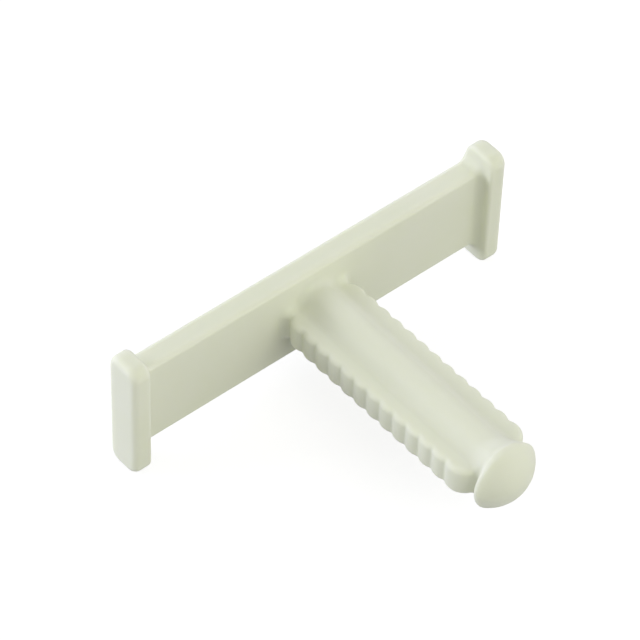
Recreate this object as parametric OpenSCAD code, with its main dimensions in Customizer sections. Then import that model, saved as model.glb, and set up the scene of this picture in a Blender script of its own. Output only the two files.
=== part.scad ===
// Fir tree mount for a cable tie, moulded in one piece of natural nylon.
// A flat crossbar carries the cables, an end flange at each side of it keeps the strap on,
// and a toothed plug on its middle is pressed into a drilled hole.
// X runs along the crossbar, Z across its width, and the plug points along -Y.
// The origin is on the plug's axis, at the face of the crossbar that the plug stands on.

/* [Crossbar] */
// Length over both end flanges
bar_length = 45; // [34:0.5:70]
// Width across the crossbar, top edge to bottom edge
bar_width = 9.8; // [8:0.1:16]
// Thickness of the crossbar
bar_thickness = 2.4; // [1.6:0.1:4]
// Rounding of the crossbar's four long edges
bar_edge_r = 0.4; // [0.1:0.05:0.7]

/* [End flanges] */
// Thickness of a flange along the crossbar
flange_thickness = 2; // [1.4:0.1:3.5]
// How far a flange stands above and below the crossbar
flange_rise = 2.1; // [1.7:0.1:5]
// How far a flange stands proud of the crossbar on the plug's side, which leaves room for the strap
flange_standoff = 1.5; // [1.3:0.1:4]
// Rounding of a flange's corners, seen from the end
flange_corner_r = 1.3; // [0.9:0.05:1.4]
// Rounding of a flange's outer rim
flange_outer_r = 0.7; // [0.1:0.05:0.8]
// Rounding of a flange's inner rim
flange_inner_r = 0.35; // [0.1:0.05:0.5]
// Fillet from a flange to the crossbar's top and bottom edges
edge_fillet_r = 1.2; // [0.3:0.05:1.2]
// Fillet from a flange to the crossbar's strap face
face_fillet_r = 0.8; // [0.3:0.05:0.8]

/* [Toothed blade] */
// Width of the plug over the crests of its teeth
plug_width = 8.26; // [7.5:0.02:12]
// Thickness of the blade that carries the teeth
blade_thickness = 3.2; // [2:0.1:3.6]
// Rounding of the blade's edges, which follows the teeth
blade_edge_r = 0.5; // [0.1:0.05:0.6]
// Number of teeth along each edge, with the last one rounded off towards the nose
tooth_count = 13; // [4:1:16]
// Distance from one tooth to the next
tooth_pitch = 1.8; // [1.4:0.05:1.9]
// Depth of a tooth, from its crest to the valley beside it
tooth_depth = 0.3; // [0.26:0.01:0.5]
// Distance from the crossbar to the crest of the first tooth
first_tooth_distance = 2; // [1.8:0.1:5]
// Rounding of the blade's two corners past the last tooth
blade_end_r = 1.9; // [1.6:0.05:2.2]
// Fillet from the blade's edges to the crossbar
root_fillet_r = 0.6; // [0.2:0.05:0.7]

/* [Spine] */
// Width of the smooth spine, which stands on both faces of the blade
spine_width = 3.8; // [3:0.02:5]
// Height over both crests of the spine
spine_height = 5.8; // [5.2:0.1:6.6]
// Fillet from the spine to the face of the blade
spine_fillet_r = 0.8; // [0.1:0.05:1]

/* [Nose] */
// Diameter of the domed nose
nose_diameter = 7.2; // [6.6:0.1:8]
// Radius of the dome, as seen from the side
dome_r = 4.25; // [4.1:0.05:8]
// Rounding of the nose's rim
rim_r = 0.2; // [0.15:0.05:0.6]
// Length of bare spine between the blade and the nose
neck_length = 0.85; // [0.2:0.05:2]

/* [Hidden] */
$fn = 96;

// How far one feature runs into its neighbour, so that the two are one solid
sink = 0.4;

// Crossbar and flanges
inner_x = bar_length / 2 - flange_thickness;
half_width = bar_width / 2;
flange_height = bar_width + 2 * flange_rise;
flange_depth = bar_thickness + flange_standoff;

// Teeth: each one is the rim of a soft-edged disc that stands out of the blade's edge.
// The core between the two rows reaches out to where the discs' flat faces meet.
crest_x = plug_width / 2;
valley_x = crest_x - tooth_depth;
tooth_r = (pow(tooth_pitch / 2, 2) + pow(tooth_depth, 2)) / (2 * tooth_depth);
tooth_x = crest_x - tooth_r;
core_x = tooth_x + sqrt(max(0, pow(tooth_r - blade_edge_r, 2) - pow(tooth_pitch / 2, 2)));
last_tooth = first_tooth_distance + (tooth_count - 1) * tooth_pitch;
corner_x = crest_x - blade_end_r;
blade_length = last_tooth + blade_end_r;

// Spine: its section has a round crest, and an arc that bites just into it blends it into the blade
crest_r = spine_width / 2;
crest_z = spine_height / 2 - crest_r;
blade_z = blade_thickness / 2;
fillet_z = blade_z + spine_fillet_r;
bite = 0.01;
blend_reach = crest_r + spine_fillet_r - bite;
fillet_x = sqrt(pow(blend_reach, 2) - pow(fillet_z - crest_z, 2));
crest_share = crest_r / blend_reach;
touch_x = fillet_x * crest_share;
touch_z = crest_z + (fillet_z - crest_z) * crest_share;

// Nose: a dome that runs tangent into a rounded rim
nose_back = blade_length + neck_length;
rim_x = nose_diameter / 2 - rim_r;
dome_drop = sqrt(pow(dome_r - rim_r, 2) - pow(rim_x, 2));
dome_centre = rim_r - dome_drop;
dome_share = dome_r / (dome_r - rim_r);
dome_edge_x = rim_x * dome_share;
dome_edge_h = dome_centre + dome_drop * dome_share;

// Rectangle with rounded corners, centred on the origin
module rounded_rect(width, height, r) {
    square([width - 2 * r, height], center = true);
    square([width, height - 2 * r], center = true);
    for (sx = [-1, 1], sy = [-1, 1])
        translate([sx * (width / 2 - r), sy * (height / 2 - r)])
            circle(r = r);
}

// Corner that is left between two edges at right angles and the arc that blends them.
// The edges run along +X and +Y, and the corner reaches sink past both.
module fillet_outline(r) {
    difference() {
        translate([-sink, -sink])
            square(r + sink);
        translate([r, r])
            circle(r = r);
    }
}

// Quarter disc in the first quadrant
module quarter_disc(r) {
    intersection() {
        circle(r = r);
        square(r);
    }
}

// Quarter-round bead that follows the rim of a rounded rectangle, at its widest at z = 0
module rim_bead(width, height, corner, r) {
    straight_x = width / 2 - corner;
    straight_y = height / 2 - corner;
    for (turn = [0, 180]) {
        rotate([0, 0, turn])
            translate([width / 2 - r, straight_y, 0])
                rotate([90, 0, 0])
                    linear_extrude(2 * straight_y)
                        quarter_disc(r);
        rotate([0, 0, turn + 90])
            translate([height / 2 - r, straight_x, 0])
                rotate([90, 0, 0])
                    linear_extrude(2 * straight_x)
                        quarter_disc(r);
    }
    for (i = [0:3])
        translate([straight_x * (i == 0 || i == 3 ? 1 : -1), straight_y * (i < 2 ? 1 : -1), 0])
            rotate([0, 0, 90 * i])
                rotate_extrude(angle = 90)
                    translate([corner - r, 0])
                        quarter_disc(r);
}

// Plate with rounded corners and with both its rims rounded, standing on z = 0
module soft_plate(width, height, thickness, corner, bottom_r, top_r) {
    translate([0, 0, bottom_r])
        linear_extrude(thickness - bottom_r - top_r)
            rounded_rect(width, height, corner);
    linear_extrude(bottom_r)
        rounded_rect(width - 2 * bottom_r, height - 2 * bottom_r, corner - bottom_r);
    translate([0, 0, thickness - top_r])
        linear_extrude(top_r)
            rounded_rect(width - 2 * top_r, height - 2 * top_r, corner - top_r);
    translate([0, 0, bottom_r])
        mirror([0, 0, 1])
            rim_bead(width, height, corner, bottom_r);
    translate([0, 0, thickness - top_r])
        rim_bead(width, height, corner, top_r);
}

// Crossbar, from inside one flange to inside the other
module crossbar() {
    length = 2 * (inner_x + flange_thickness - flange_outer_r);
    translate([-length / 2, bar_thickness / 2, 0])
        rotate([90, 0, 90])
            linear_extrude(length)
                rounded_rect(bar_thickness, bar_width, bar_edge_r);
}

// End flange on the +X side
module flange() {
    translate([inner_x, bar_thickness - flange_depth / 2, 0])
        rotate([90, 0, 90])
            soft_plate(flange_depth, flange_height, flange_thickness,
                       flange_corner_r, flange_inner_r, flange_outer_r);
}

// Fillets that blend the +X flange into the crossbar's two edges and into its strap face
module flange_fillets() {
    edge_run = bar_thickness - 2 * bar_edge_r;
    face_run = bar_width - 2 * bar_edge_r;
    for (side = [0, 1])
        mirror([0, 0, side])
            translate([inner_x, bar_edge_r, half_width])
                rotate([90, 0, 180])
                    linear_extrude(edge_run)
                        fillet_outline(edge_fillet_r);
    translate([inner_x, 0, -face_run / 2])
        rotate([0, 0, 180])
            linear_extrude(face_run)
                fillet_outline(face_fillet_r);
}

// Half of a plate's section, from the Y axis out to a rounded edge
module soft_edge(reach, thickness, r) {
    translate([0, -thickness / 2])
        square([reach - r, thickness]);
    translate([0, r - thickness / 2])
        square([reach, thickness - 2 * r]);
    for (side = [-1, 1])
        translate([reach - r, side * (thickness / 2 - r)])
            circle(r = r);
}

// Disc with rounded rims, centred on the origin
module soft_disc(radius) {
    rotate_extrude()
        soft_edge(radius, blade_thickness, blade_edge_r);
}

// Row of teeth along the +X edge, with the blade's rounded corner past the last one
module tooth_row() {
    for (i = [0:tooth_count - 1])
        translate([tooth_x, -first_tooth_distance - i * tooth_pitch, 0])
            soft_disc(tooth_r);
    translate([corner_x, -last_tooth, 0])
        soft_disc(blade_end_r);
}

// Fillet from the +X edge of the blade to the crossbar
module root_fillet() {
    height = blade_thickness - 2 * blade_edge_r;
    translate([valley_x, 0, -height / 2])
        linear_extrude(height)
            mirror([0, 1])
                fillet_outline(root_fillet_r);
}

// Toothed blade, centred on the parting plane
module blade() {
    translate([-core_x, -last_tooth, -blade_z])
        cube([2 * core_x, last_tooth + sink, blade_thickness]);
    translate([0, sink, 0])
        rotate([90, 0, 0])
            linear_extrude(sink + first_tooth_distance)
                rounded_rect(2 * valley_x, blade_thickness, blade_edge_r);
    translate([-corner_x, -last_tooth, 0])
        rotate([90, 0, 90])
            linear_extrude(2 * corner_x)
                mirror([1, 0])
                    soft_edge(blade_end_r, blade_thickness, blade_edge_r);
    for (side = [0, 1])
        mirror([side, 0, 0]) {
            tooth_row();
            root_fillet();
        }
}

// Section of the bare spine: a strip with round crests
module spine_section() {
    square([spine_width, 2 * crest_z], center = true);
    for (side = [-1, 1])
        translate([0, side * crest_z])
            circle(r = crest_r);
}

// Arc that blends the spine's crest into the face of the blade, in the first quadrant
module blend_outline() {
    difference() {
        polygon([[0, 0], [fillet_x, 0], [fillet_x, blade_z], [touch_x - bite, touch_z], [0, touch_z]]);
        translate([fillet_x, fillet_z])
            circle(r = spine_fillet_r);
    }
}

// Smooth spine on both faces of the blade, from inside the crossbar to inside the nose
module spine() {
    translate([0, sink, 0])
        rotate([90, 0, 0])
            linear_extrude(sink + nose_back + sink)
                spine_section();
    for (left = [0, 1], under = [0, 1])
        mirror([left, 0, 0])
            mirror([0, 0, under])
                rotate([90, 0, 0])
                    linear_extrude(blade_length)
                        blend_outline();
}

// Half of the nose's profile, with its back on the X axis
module nose_profile() {
    translate([rim_x, rim_r])
        circle(r = rim_r);
    polygon([[0, 0], [rim_x, 0], [rim_x, rim_r], [dome_edge_x, dome_edge_h], [0, dome_edge_h]]);
    intersection() {
        translate([0, dome_centre])
            circle(r = dome_r);
        translate([0, dome_edge_h])
            square([dome_edge_x, dome_r]);
    }
}

// Domed nose that leads the plug into its hole
module nose() {
    translate([0, -nose_back, 0])
        rotate([90, 0, 0])
            rotate_extrude()
                nose_profile();
}

// Whole moulding
module fir_tree_mount() {
    color([0.86, 0.87, 0.78]) {
        crossbar();
        for (side = [0, 1])
            mirror([side, 0, 0]) {
                flange();
                flange_fillets();
            }
        blade();
        spine();
        nose();
    }
}

fir_tree_mount();
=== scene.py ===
"""Looks of a fir tree cable tie mount: one soft-edged moulding in natural nylon.

The moulding's form is a distance field, built from the same features as the part: a crossbar, two end
flanges, a toothed blade, a spine and a domed nose, joined by the fillets that a mould leaves. A fine
net of faces is drawn over the field's zero surface. Lengths are in millimetres until the net becomes
a mesh, which is in metres like the frame.
"""
import logging
import math
from dataclasses import dataclass, field
from enum import Enum
from typing import Callable

import bpy
import numpy as np
from mathutils import Matrix, Vector


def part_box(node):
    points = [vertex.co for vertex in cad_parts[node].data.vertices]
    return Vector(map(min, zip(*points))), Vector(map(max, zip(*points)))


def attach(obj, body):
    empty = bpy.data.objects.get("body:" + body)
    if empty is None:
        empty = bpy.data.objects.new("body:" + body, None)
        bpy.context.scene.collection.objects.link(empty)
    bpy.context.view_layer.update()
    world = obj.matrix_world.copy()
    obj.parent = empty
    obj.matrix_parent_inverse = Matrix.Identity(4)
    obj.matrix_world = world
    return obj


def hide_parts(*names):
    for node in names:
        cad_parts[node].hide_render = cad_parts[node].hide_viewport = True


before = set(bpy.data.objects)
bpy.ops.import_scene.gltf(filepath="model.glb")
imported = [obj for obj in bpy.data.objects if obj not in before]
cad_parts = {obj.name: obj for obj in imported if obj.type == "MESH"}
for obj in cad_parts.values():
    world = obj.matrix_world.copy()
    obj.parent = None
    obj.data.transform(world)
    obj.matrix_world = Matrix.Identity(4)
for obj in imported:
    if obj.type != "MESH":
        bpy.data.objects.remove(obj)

LOG = logging.getLogger("fir_tree_mount")

MM = 0.001
NODE = "fir_tree_mount"
BODY = "root"

# How far the crossbar runs into a flange, in millimetres
BAR_SINK = 0.3

# Side of each lamp, in metres, and the lamps' tints
LAMP_SIDE = 0.40
COOL = (0.87, 0.885, 1.0)
WARM = (1.0, 1.0, 0.86)

Array = np.ndarray
Field = Callable[[Array, Array, Array], Array]


class LampRole(Enum):
    """What a lamp does for the picture."""

    KEY = "key"
    SIDE = "side"
    FRONT = "front"
    RIM = "rim"


class End(Enum):
    """The two ends of the crossbar, as the sign of X."""

    LEFT = -1.0
    RIGHT = 1.0


def hypot_outside(a: Array, b: Array) -> Array:
    """Distance from a corner for points outside both of its faces.

    Args:
        a: Signed distance to the first face.
        b: Signed distance to the second face.

    Returns:
        The distance, which is zero for points inside both faces.
    """
    return np.sqrt(np.maximum(a, 0.0) ** 2 + np.maximum(b, 0.0) ** 2)


def crossed(a: Array, b: Array, radius: Array | float) -> Array:
    """Distance to the solid common to two slabs, with its edge rounded.

    Args:
        a: Signed distance to the first slab.
        b: Signed distance to the second slab.
        radius: Rounding of the edge where the slabs' faces meet.

    Returns:
        The signed distance.
    """
    a = a + radius
    b = b + radius
    return np.minimum(np.maximum(a, b), 0.0) + hypot_outside(a, b) - radius


def blended(a: Array, b: Array, radius: Array | float) -> Array:
    """Distance to two solids joined by a fillet.

    Args:
        a: Signed distance to the first solid.
        b: Signed distance to the second solid.
        radius: Fillet's radius.

    Returns:
        The signed distance.
    """
    reach = np.sqrt(np.maximum(radius - a, 0.0) ** 2 + np.maximum(radius - b, 0.0) ** 2)
    return np.maximum(radius, np.minimum(a, b)) - reach


def rounded_rect(u: Array, v: Array, half_u: float, half_v: float, radius: float) -> Array:
    """Distance to a rectangle with rounded corners, centred on the origin.

    Args:
        u: First coordinate.
        v: Second coordinate.
        half_u: Half of its length along the first coordinate.
        half_v: Half of its length along the second coordinate.
        radius: Rounding of its corners.

    Returns:
        The signed distance.
    """
    return crossed(np.abs(u) - half_u, np.abs(v) - half_v, radius)


def eased(share: Array) -> Array:
    """Share of a change from 0 to 1 that starts and ends softly.

    Args:
        share: Even share of the change.

    Returns:
        The eased share.
    """
    return share ** 2 * (3.0 - 2.0 * share)


@dataclass
class Crossbar:
    """Flat bar that carries the cables. Its strap face is at y = 0."""

    half_length: float
    thickness: float
    width: float = 9.8
    edge_r: float = 0.4

    def distance(self, x: Array, y: Array, z: Array) -> Array:
        """Signed distance to the bar.

        Args:
            x: Coordinates along the bar.
            y: Coordinates through the bar.
            z: Coordinates across the bar.

        Returns:
            The signed distance.
        """
        half_t = self.thickness / 2
        section = rounded_rect(y - half_t, z, half_t, self.width / 2, self.edge_r)
        return np.maximum(section, np.abs(x) - self.half_length)


@dataclass
class EndFlange:
    """Plate across one end of the crossbar, which keeps the strap on."""

    end: End
    outer_x: float
    back_y: float
    half_height: float
    thickness: float = 2.0
    standoff: float = 1.5
    corner_r: float = 1.3
    outer_r: float = 0.7
    inner_r: float = 0.35

    def distance(self, x: Array, y: Array, z: Array) -> Array:
        """Signed distance to the flange.

        Args:
            x: Coordinates along the crossbar.
            y: Coordinates through the crossbar.
            z: Coordinates across the crossbar.

        Returns:
            The signed distance.
        """
        half_t = self.thickness / 2
        half_depth = (self.back_y + self.standoff) / 2
        along = x * self.end.value - (self.outer_x - half_t)
        through = y - (self.back_y - half_depth)
        outline = rounded_rect(through, z, half_depth, self.half_height, self.corner_r)
        rim = np.where(along > 0.0, self.outer_r, self.inner_r).astype(x.dtype)
        return crossed(outline, np.abs(along) - half_t, rim)


@dataclass
class ToothedBlade:
    """Flat blade with a row of rounded teeth along each edge."""

    width: float = 8.26
    thickness: float = 3.2
    teeth: int = 13
    pitch: float = 1.8
    depth: float = 0.3
    first_tooth: float = 2.0
    end_r: float = 1.9
    edge_r: float = 0.5
    valley_r: float = 0.2
    root_sink: float = 1.0

    @property
    def last_tooth(self) -> float:
        """Distance from the crossbar to the crest of the last tooth."""
        return self.first_tooth + (self.teeth - 1) * self.pitch

    @property
    def length(self) -> float:
        """Distance from the crossbar to the blade's end."""
        return self.last_tooth + self.end_r

    def outline(self, x: Array, y: Array) -> Array:
        """Signed distance to the blade's outline, seen along Z.

        Args:
            x: Coordinates across the blade.
            y: Coordinates along the blade, which points along -Y.

        Returns:
            The signed distance.
        """
        crest = self.width / 2
        tooth_r = ((self.pitch / 2) ** 2 + self.depth ** 2) / (2 * self.depth)
        side = np.abs(x)
        place = (-y - self.first_tooth) / self.pitch
        nearest = np.clip(np.round(place), 0, self.teeth - 1)
        other = np.clip(nearest + np.where(place > nearest, 1.0, -1.0), 0, self.teeth - 1)
        discs = []
        for index in (nearest, other):
            along = y + self.first_tooth + index * self.pitch
            discs.append(np.sqrt((side - (crest - tooth_r)) ** 2 + along ** 2) - tooth_r)
        row = blended(discs[0], discs[1], self.valley_r)
        row = np.where(nearest == other, discs[0], row)
        core_x = crest - tooth_r + math.sqrt((tooth_r - self.edge_r) ** 2 - (self.pitch / 2) ** 2)
        core = np.maximum(side - core_x - self.edge_r, np.abs(y - (self.root_sink - self.last_tooth) / 2)
                          - (self.root_sink + self.last_tooth) / 2)
        corner_x = crest - self.end_r
        corner = np.sqrt((side - corner_x) ** 2 + (y + self.last_tooth) ** 2) - self.end_r
        strip = np.maximum(side - corner_x, np.abs(y + self.last_tooth) - self.end_r)
        end = np.maximum(np.minimum(corner, strip), y + self.last_tooth)
        return np.minimum(np.minimum(row, core), end)

    def distance(self, x: Array, y: Array, z: Array) -> Array:
        """Signed distance to the blade.

        Args:
            x: Coordinates across the blade.
            y: Coordinates along the blade.
            z: Coordinates through the blade.

        Returns:
            The signed distance.
        """
        return crossed(self.outline(x, y), np.abs(z) - self.thickness / 2, self.edge_r)


@dataclass
class Spine:
    """Smooth round-crested rib on both faces of the blade."""

    reach: float
    width: float = 3.8
    height: float = 5.8
    root_sink: float = 1.0
    flare: float = 0.62
    flare_length: float = 2.8

    def distance(self, x: Array, y: Array, z: Array) -> Array:
        """Signed distance to the spine.

        Args:
            x: Coordinates across the spine.
            y: Coordinates along the spine, which points along -Y.
            z: Coordinates through the spine.

        Returns:
            The signed distance.
        """
        crest_r = self.width / 2
        rise = np.maximum(np.abs(z) - (self.height / 2 - crest_r), 0.0)
        share = np.clip(1.0 - (self.reach + y) / self.flare_length, 0.0, 1.0)
        section = np.sqrt(x ** 2 + rise ** 2) - crest_r - self.flare * eased(share)
        middle = (self.root_sink - self.reach) / 2
        return np.maximum(section, np.abs(y - middle) - (self.root_sink + self.reach) / 2)


@dataclass
class Nose:
    """Domed tip that leads the plug into its hole."""

    tip: float
    diameter: float = 7.2
    dome_r: float = 4.25
    rim_r: float = 0.3

    @property
    def back(self) -> float:
        """Distance from the crossbar to the nose's flat back."""
        return self.tip - self.dome_r + self.cut - self.rim_r

    @property
    def cut(self) -> float:
        """Height above the dome's centre at which the dome is cut off, before its rim is rounded."""
        return math.sqrt((self.dome_r - self.rim_r) ** 2 - (self.diameter / 2 - self.rim_r) ** 2)

    def distance(self, x: Array, y: Array, z: Array) -> Array:
        """Signed distance to the nose.

        Args:
            x: Coordinates across the plug.
            y: Coordinates along the plug.
            z: Coordinates through the plug.

        Returns:
            The signed distance.
        """
        radius = self.dome_r - self.rim_r
        cut = self.cut
        rim = self.diameter / 2 - self.rim_r
        out = np.sqrt(x ** 2 + z ** 2)
        up = -y - (self.tip - self.dome_r)
        near_top = (cut - radius) * out ** 2 + rim ** 2 * (cut + radius - 2 * up)
        above = np.maximum(near_top, cut * out - rim * up)
        on_rim = np.sqrt((out - rim) ** 2 + (up - cut) ** 2)
        flat = np.where(out < rim, cut - up, on_rim)
        return np.where(above < 0.0, np.sqrt(out ** 2 + up ** 2) - radius, flat) - self.rim_r


@dataclass
class Moulding:
    """The whole mount, with the fillets between its features."""

    crossbar: Crossbar
    flanges: list[EndFlange]
    blade: ToothedBlade
    spine: Spine
    nose: Nose
    back_y: float
    edge_fillet_r: float = 1.2
    face_fillet_r: float = 0.8
    root_fillet_r: float = 0.95
    spine_fillet_r: float = 0.8
    neck_fillet_r: float = 0.6
    least_share: float = 0.05

    @classmethod
    def from_frame(cls, node: str) -> "Moulding":
        """Takes the overall sizes from a node of the frame.

        Args:
            node: The node's name.

        Returns:
            The moulding.
        """
        low, high = (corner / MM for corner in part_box(node))
        flanges = [EndFlange(end, high.x, high.y, high.z) for end in End]
        nose = Nose(-low.y)
        crossbar = Crossbar(high.x - flanges[0].thickness + BAR_SINK, high.y)
        return cls(crossbar, flanges, ToothedBlade(), Spine(nose.back + nose.rim_r), nose, high.y)

    def distance(self, x: Array, y: Array, z: Array) -> Array:
        """Signed distance to the moulding's surface.

        Args:
            x: Coordinates along the crossbar.
            y: Coordinates along the plug, which points along -Y.
            z: Coordinates across the crossbar.

        Returns:
            The signed distance.
        """
        bar = self.crossbar.distance(x, y, z)
        edge = np.clip((np.abs(z) - self.crossbar.width / 2) / self.edge_fillet_r + 0.5, 0.0, 1.0)
        fillet = self.face_fillet_r + (self.edge_fillet_r - self.face_fillet_r) * edge
        for flange in self.flanges:
            bar = blended(bar, flange.distance(x, y, z), fillet)
        bar = np.maximum(bar, y - self.back_y)
        plug = blended(self.blade.distance(x, y, z), self.spine.distance(x, y, z), self.spine_fillet_r)
        rim_r = self.nose.rim_r
        behind = np.clip((y + self.nose.back + rim_r) / rim_r, self.least_share, 1.0)
        plug = blended(plug, self.nose.distance(x, y, z), self.neck_fillet_r * behind)
        joined = blended(bar, plug, self.root_fillet_r)
        return np.maximum(joined, y - self.back_y)


@dataclass
class SurfaceNet:
    """Net of four-sided faces over the zero surface of a distance field."""

    low: Vector
    high: Vector
    step: float = 0.17
    margin: float = 0.6
    settle_rounds: int = 3
    probe: float = 0.02
    least_slope: float = 0.25

    def axes(self) -> list[Array]:
        """The grid's coordinates along X, Y and Z."""
        return [np.arange(a - self.margin, b + self.margin, self.step, dtype=np.float32)
                for a, b in zip(self.low, self.high)]

    def sample(self, field_of: Field) -> Array:
        """Samples the field on the grid, one layer along X at a time.

        Args:
            field_of: The distance field.

        Returns:
            Distances at the grid's points.
        """
        xs, ys, zs = self.axes()
        y, z = np.meshgrid(ys, zs, indexing="ij")
        return np.stack([field_of(np.full_like(y, x), y, z) for x in xs])

    def cells(self, values: Array) -> tuple[Array, Array]:
        """Finds the cells that the surface passes through.

        Args:
            values: Distances at the grid's points.

        Returns:
            Each such cell's indices, and a grid that gives a cell's place in that list or -1.
        """
        inside = values < 0.0
        shape = tuple(n - 1 for n in values.shape)
        count = np.zeros(shape, np.int8)
        for i in (0, 1):
            for j in (0, 1):
                for k in (0, 1):
                    count += inside[i:i + shape[0], j:j + shape[1], k:k + shape[2]]
        active = (count > 0) & (count < 8)
        places = np.full(shape, -1, np.int64)
        cells = np.argwhere(active)
        places[active] = np.arange(len(cells))
        return cells, places

    def points(self, values: Array, cells: Array) -> Array:
        """Puts one point in each cell, at the mean of the places where the surface cuts its edges.

        Args:
            values: Distances at the grid's points.
            cells: The cells' indices.

        Returns:
            The points' coordinates.
        """
        total = np.zeros((len(cells), 3))
        hits = np.zeros(len(cells))
        for axis in range(3):
            others = [a for a in range(3) if a != axis]
            for first in (0, 1):
                for second in (0, 1):
                    start = np.zeros(3, np.int64)
                    start[others[0]], start[others[1]] = first, second
                    stop = start.copy()
                    stop[axis] = 1
                    a = values[tuple((cells + start).T)]
                    b = values[tuple((cells + stop).T)]
                    cut = (a < 0.0) != (b < 0.0)
                    share = np.where(cut, a / np.where(cut, a - b, 1.0), 0.0)
                    place = start + share[:, None] * (stop - start)
                    total += np.where(cut[:, None], place, 0.0)
                    hits += cut
        origin = np.array([axis[0] for axis in self.axes()], float)
        return origin + (cells + total / hits[:, None]) * self.step

    def faces(self, values: Array, places: Array) -> Array:
        """Joins the points of the four cells round each edge that the surface cuts.

        Args:
            values: Distances at the grid's points.
            places: The grid that gives each cell's point.

        Returns:
            Four point numbers for each face, ordered so that the face looks outwards.
        """
        inside = values < 0.0
        quads = []
        for axis in range(3):
            u, v = (axis + 1) % 3, (axis + 2) % 3
            near = np.moveaxis(inside, axis, 0)[:-1]
            far = np.moveaxis(inside, axis, 0)[1:]
            cut = np.moveaxis(near != far, 0, axis)
            keep = np.argwhere(cut)
            shape = np.array(places.shape)
            past_low = (keep[:, u] > 0) & (keep[:, v] > 0)
            short_of_high = (keep[:, u] < shape[u]) & (keep[:, v] < shape[v])
            keep = keep[past_low & short_of_high]
            ring = []
            for du, dv in ((-1, -1), (0, -1), (0, 0), (-1, 0)):
                cell = keep.copy()
                cell[:, u] += du
                cell[:, v] += dv
                ring.append(places[tuple(cell.T)])
            quad = np.stack(ring, axis=1)
            outwards = inside[tuple(keep.T)]
            quads.append(np.where(outwards[:, None], quad, quad[:, ::-1]))
        return np.concatenate(quads)

    def slope(self, field_of: Field, points: Array) -> Array:
        """Slope of the field at some points.

        Args:
            field_of: The distance field.
            points: The points' coordinates.

        Returns:
            The slope along X, Y and Z at each point.
        """
        slopes = []
        for axis in range(3):
            shift = np.zeros(3)
            shift[axis] = self.probe
            ahead = field_of(*(points + shift).T)
            behind = field_of(*(points - shift).T)
            slopes.append((ahead - behind) / (2 * self.probe))
        return np.stack(slopes, axis=1)

    def settle(self, field_of: Field, points: Array) -> Array:
        """Moves points along the field's slope onto its zero surface.

        Args:
            field_of: The distance field.
            points: The points' coordinates.

        Returns:
            The moved points.
        """
        for _ in range(self.settle_rounds):
            slope = self.slope(field_of, points)
            size = np.maximum((slope ** 2).sum(axis=1), self.least_slope)
            off = np.clip(field_of(*points.T), -self.step, self.step)
            points = points - slope * (off / size)[:, None]
        return points

    def build(self, name: str, field_of: Field) -> bpy.types.Object:
        """Makes a smooth-shaded object of the field's zero surface.

        Args:
            name: The object's name.
            field_of: The distance field, in millimetres.

        Returns:
            The object, in metres.
        """
        values = self.sample(field_of)
        cells, places = self.cells(values)
        points = self.settle(field_of, self.points(values, cells))
        quads = self.faces(values, places)
        mesh = bpy.data.meshes.new(name)
        mesh.from_pydata((points * MM).tolist(), [], quads.tolist())
        mesh.validate()
        mesh.shade_smooth()
        built = bpy.data.objects.new(name, mesh)
        bpy.context.scene.collection.objects.link(built)
        return built


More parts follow.
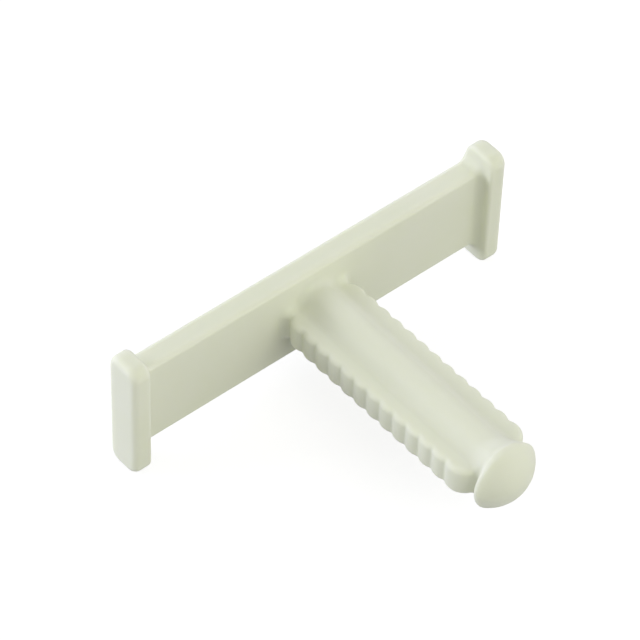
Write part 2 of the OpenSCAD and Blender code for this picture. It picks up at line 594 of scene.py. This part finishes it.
@dataclass(frozen=True)
class NaturalNylon:
    """Milky, faintly green-yellow nylon with a soft satin skin."""

    name: str = "natural_nylon"
    pale: tuple[float, float, float] = (0.800, 0.812, 0.700)
    deep: tuple[float, float, float] = (0.755, 0.780, 0.624)
    cloud_scale: float = 130.0
    cloud_detail: float = 3.0
    roughness_low: float = 0.50
    roughness_high: float = 0.66
    skin_scale: float = 900.0
    skin_detail: float = 4.0
    grain_scale: float = 4200.0
    grain_detail: float = 2.0
    bump_depth: float = 0.00002
    bump_strength: float = 0.25
    subsurface: float = 0.85
    subsurface_scale: float = 0.0009
    subsurface_radius: tuple[float, float, float] = (1.0, 1.0, 0.9)
    ior: float = 1.53
    sheen_of_skin: float = 0.3

    def noise(self, tree: bpy.types.NodeTree, coords: bpy.types.Node, scale: float,
              detail: float) -> bpy.types.Node:
        """Adds a noise texture in the object's own coordinates.

        Args:
            tree: The material's node tree.
            coords: The texture coordinate node.
            scale: The noise's scale, per metre.
            detail: The noise's detail.

        Returns:
            The noise node.
        """
        node = tree.nodes.new("ShaderNodeTexNoise")
        node.inputs["Scale"].default_value = scale
        node.inputs["Detail"].default_value = detail
        tree.links.new(coords.outputs["Object"], node.inputs["Vector"])
        return node

    def build(self) -> bpy.types.Material:
        """Makes the material.

        Returns:
            The material.
        """
        material = bpy.data.materials.new(self.name)
        material.use_nodes = True
        tree = material.node_tree
        shader = tree.nodes["Principled BSDF"]
        coords = tree.nodes.new("ShaderNodeTexCoord")
        clouds = self.noise(tree, coords, self.cloud_scale, self.cloud_detail)
        tint = tree.nodes.new("ShaderNodeMix")
        tint.data_type = "RGBA"
        tint.inputs["A"].default_value = (*self.deep, 1.0)
        tint.inputs["B"].default_value = (*self.pale, 1.0)
        tree.links.new(clouds.outputs["Fac"], tint.inputs["Factor"])
        tree.links.new(tint.outputs["Result"], shader.inputs["Base Color"])

        skin = self.noise(tree, coords, self.skin_scale, self.skin_detail)
        rough = tree.nodes.new("ShaderNodeMapRange")
        rough.inputs["To Min"].default_value = self.roughness_low
        rough.inputs["To Max"].default_value = self.roughness_high
        tree.links.new(skin.outputs["Fac"], rough.inputs["Value"])
        tree.links.new(rough.outputs["Result"], shader.inputs["Roughness"])

        grain = self.noise(tree, coords, self.grain_scale, self.grain_detail)
        bump = tree.nodes.new("ShaderNodeBump")
        bump.inputs["Strength"].default_value = self.bump_strength
        bump.inputs["Distance"].default_value = self.bump_depth
        tree.links.new(grain.outputs["Fac"], bump.inputs["Height"])
        tree.links.new(bump.outputs["Normal"], shader.inputs["Normal"])

        shader.inputs["IOR"].default_value = self.ior
        shader.inputs["Specular IOR Level"].default_value = self.sheen_of_skin
        shader.inputs["Subsurface Weight"].default_value = self.subsurface
        shader.inputs["Subsurface Scale"].default_value = self.subsurface_scale
        shader.inputs["Subsurface Radius"].default_value = self.subsurface_radius
        return material


@dataclass(frozen=True)
class StudioFloor:
    """Plain white floor that fades into the background and keeps a faint shadow."""

    level: float
    half_side: float = 1.5
    bounce: float = 0.56
    seen_glow: float = 0.80
    seen_bounce: float = 0.30
    clearance: float = 0.00005

    def material(self) -> bpy.types.Material:
        """Makes the floor's material.

        Returns:
            The material, near white to the camera and plain white to the object's own light.
        """
        material = bpy.data.materials.new("studio_floor")
        material.use_nodes = True
        tree = material.node_tree
        tree.nodes.clear()
        output = tree.nodes.new("ShaderNodeOutputMaterial")
        matte = tree.nodes.new("ShaderNodeBsdfDiffuse")
        matte.inputs["Color"].default_value = (self.bounce, self.bounce, self.bounce, 1.0)
        shown = tree.nodes.new("ShaderNodeBsdfDiffuse")
        shown.inputs["Color"].default_value = (self.seen_bounce, self.seen_bounce, self.seen_bounce, 1.0)
        glow = tree.nodes.new("ShaderNodeEmission")
        glow.inputs["Strength"].default_value = self.seen_glow
        both = tree.nodes.new("ShaderNodeAddShader")
        tree.links.new(shown.outputs[0], both.inputs[0])
        tree.links.new(glow.outputs[0], both.inputs[1])
        mix = tree.nodes.new("ShaderNodeMixShader")
        tree.links.new(seen_directly(tree), mix.inputs["Fac"])
        tree.links.new(matte.outputs[0], mix.inputs[1])
        tree.links.new(both.outputs[0], mix.inputs[2])
        tree.links.new(mix.outputs[0], output.inputs["Surface"])
        return material

    def build(self) -> bpy.types.Object:
        """Makes the floor.

        Returns:
            The floor.
        """
        side = self.half_side
        level = self.level - self.clearance
        corners = [(-side, -side, level), (side, -side, level), (side, side, level), (-side, side, level)]
        mesh = bpy.data.meshes.new("studio_floor")
        mesh.from_pydata(corners, [], [(0, 1, 2, 3)])
        mesh.materials.append(self.material())
        floor = bpy.data.objects.new("studio_floor", mesh)
        bpy.context.scene.collection.objects.link(floor)
        return floor


def seen_directly(tree: bpy.types.NodeTree) -> bpy.types.NodeSocket:
    """Adds nodes that are 1 for camera, glossy and transmission rays and 0 for the light on the object.

    Args:
        tree: The node tree of a material or of the world.

    Returns:
        The socket that carries the value.
    """
    path = tree.nodes.new("ShaderNodeLightPath")
    glossy = tree.nodes.new("ShaderNodeMath")
    glossy.operation = "MAXIMUM"
    through = tree.nodes.new("ShaderNodeMath")
    through.operation = "MAXIMUM"
    tree.links.new(path.outputs["Is Camera Ray"], glossy.inputs[0])
    tree.links.new(path.outputs["Is Glossy Ray"], glossy.inputs[1])
    tree.links.new(glossy.outputs[0], through.inputs[0])
    tree.links.new(path.outputs["Is Transmission Ray"], through.inputs[1])
    return through.outputs[0]


@dataclass(frozen=True)
class StudioSky:
    """Even white surround: white to the camera, and a softer light on the object."""

    strength: float = 0.5
    tint: tuple[float, float, float] = (1.0, 1.0, 1.0)

    def build(self) -> None:
        """Sets the scene's world."""
        world = bpy.data.worlds.new("studio_sky")
        world.use_nodes = True
        tree = world.node_tree
        tree.nodes.clear()
        output = tree.nodes.new("ShaderNodeOutputWorld")
        light = tree.nodes.new("ShaderNodeBackground")
        light.inputs["Color"].default_value = (*self.tint, 1.0)
        light.inputs["Strength"].default_value = self.strength
        white = tree.nodes.new("ShaderNodeBackground")
        white.inputs["Color"].default_value = (1.0, 1.0, 1.0, 1.0)
        mix = tree.nodes.new("ShaderNodeMixShader")
        tree.links.new(seen_directly(tree), mix.inputs["Fac"])
        tree.links.new(light.outputs[0], mix.inputs[1])
        tree.links.new(white.outputs[0], mix.inputs[2])
        tree.links.new(mix.outputs[0], output.inputs["Surface"])
        bpy.context.scene.world = world


@dataclass(frozen=True)
class SoftLamp:
    """Square soft box, aimed at a point."""

    role: LampRole
    place: tuple[float, float, float]
    side: float
    power: float
    tint: tuple[float, float, float]

    def build(self, aim: Vector) -> bpy.types.Object:
        """Makes the lamp.

        Args:
            aim: The point that it faces, in metres.

        Returns:
            The lamp.
        """
        data = bpy.data.lights.new(self.role.value, "AREA")
        data.shape = "SQUARE"
        data.size = self.side
        data.energy = self.power
        data.color = self.tint
        lamp = bpy.data.objects.new(self.role.value, data)
        lamp.location = self.place
        lamp.rotation_euler = (aim - lamp.location).to_track_quat("-Z", "Y").to_euler()
        bpy.context.scene.collection.objects.link(lamp)
        return lamp


@dataclass(frozen=True)
class PhotoCamera:
    """Camera at the photograph's viewing angle.

    Angles are in degrees and lengths in millimetres, apart from near and far, which are in metres.
    """

    azimuth: float = -41.757
    elevation: float = 47.581
    roll: float = 2.222
    distance: float = 340.107
    shift_right: float = -0.512
    shift_up: float = 1.333
    pixels_per_mm: float = 10.702
    image_side: float = 640.0
    sensor: float = 36.0
    near: float = 0.01
    far: float = 20.0

    def build(self) -> bpy.types.Object:
        """Makes the camera and gives it to the scene.

        Returns:
            The camera.
        """
        turn, lift, roll = (math.radians(a) for a in (self.azimuth, self.elevation, self.roll))
        flat = math.cos(lift)
        back = Vector((math.sin(turn) * flat, -math.cos(turn) * flat, math.sin(lift)))
        level = Vector((math.cos(turn), math.sin(turn), 0.0))
        rise = back.cross(level)
        right = level * math.cos(roll) + rise * math.sin(roll)
        up = rise * math.cos(roll) - level * math.sin(roll)
        place = back * self.distance - right * self.shift_right - up * self.shift_up
        data = bpy.data.cameras.new("photo_camera")
        data.sensor_width = self.sensor
        data.lens = self.sensor * self.pixels_per_mm * self.distance / self.image_side
        data.clip_start = self.near
        data.clip_end = self.far
        camera = bpy.data.objects.new("photo_camera", data)
        axes = Matrix((right, up, back)).transposed().to_4x4()
        camera.matrix_world = Matrix.Translation(place * MM) @ axes
        bpy.context.scene.collection.objects.link(camera)
        bpy.context.scene.camera = camera
        return camera


@dataclass
class Studio:
    """Camera, floor, surround and lamps."""

    camera: PhotoCamera = field(default_factory=PhotoCamera)
    sky: StudioSky = field(default_factory=StudioSky)
    lamps: tuple[SoftLamp, ...] = (
        SoftLamp(LampRole.KEY, (-0.42, 0.42, 0.14), LAMP_SIDE, 3.0, COOL),
        SoftLamp(LampRole.SIDE, (0.42, -0.42, 0.13), LAMP_SIDE, 0.50, COOL),
        SoftLamp(LampRole.FRONT, (0.06, -0.49, 0.34), LAMP_SIDE, 1.15, WARM),
        SoftLamp(LampRole.RIM, (0.35, 0.35, 0.34), LAMP_SIDE, 0.55, COOL),
    )

    def build(self, floor_level: float) -> None:
        """Makes the whole studio.

        Args:
            floor_level: Height of the floor, in metres.
        """
        self.camera.build()
        StudioFloor(floor_level).build()
        self.sky.build()
        for lamp in self.lamps:
            lamp.build(Vector((0.0, 0.0, 0.0)))
            LOG.info("lamp %s", lamp.role.value)
        bpy.context.scene.view_settings.view_transform = "Standard"


def build_mount() -> bpy.types.Object:
    """Builds the moulding, gives it its finish and lets it stand for the frame's node.

    Returns:
        The moulding's object.
    """
    moulding = Moulding.from_frame(NODE)
    low, high = (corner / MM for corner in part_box(NODE))
    mount = SurfaceNet(low, high).build("nylon_moulding", moulding.distance)
    mount.data.materials.append(NaturalNylon().build())
    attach(mount, BODY)
    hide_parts(NODE)
    LOG.info("%s: %d faces", mount.name, len(mount.data.polygons))
    return mount


def main() -> None:
    """Builds the studio and the mount."""
    logging.basicConfig(level=logging.INFO)
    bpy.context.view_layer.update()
    low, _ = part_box(NODE)
    Studio().build(low.z)
    build_mount()


if __name__ == "__main__":
    main()
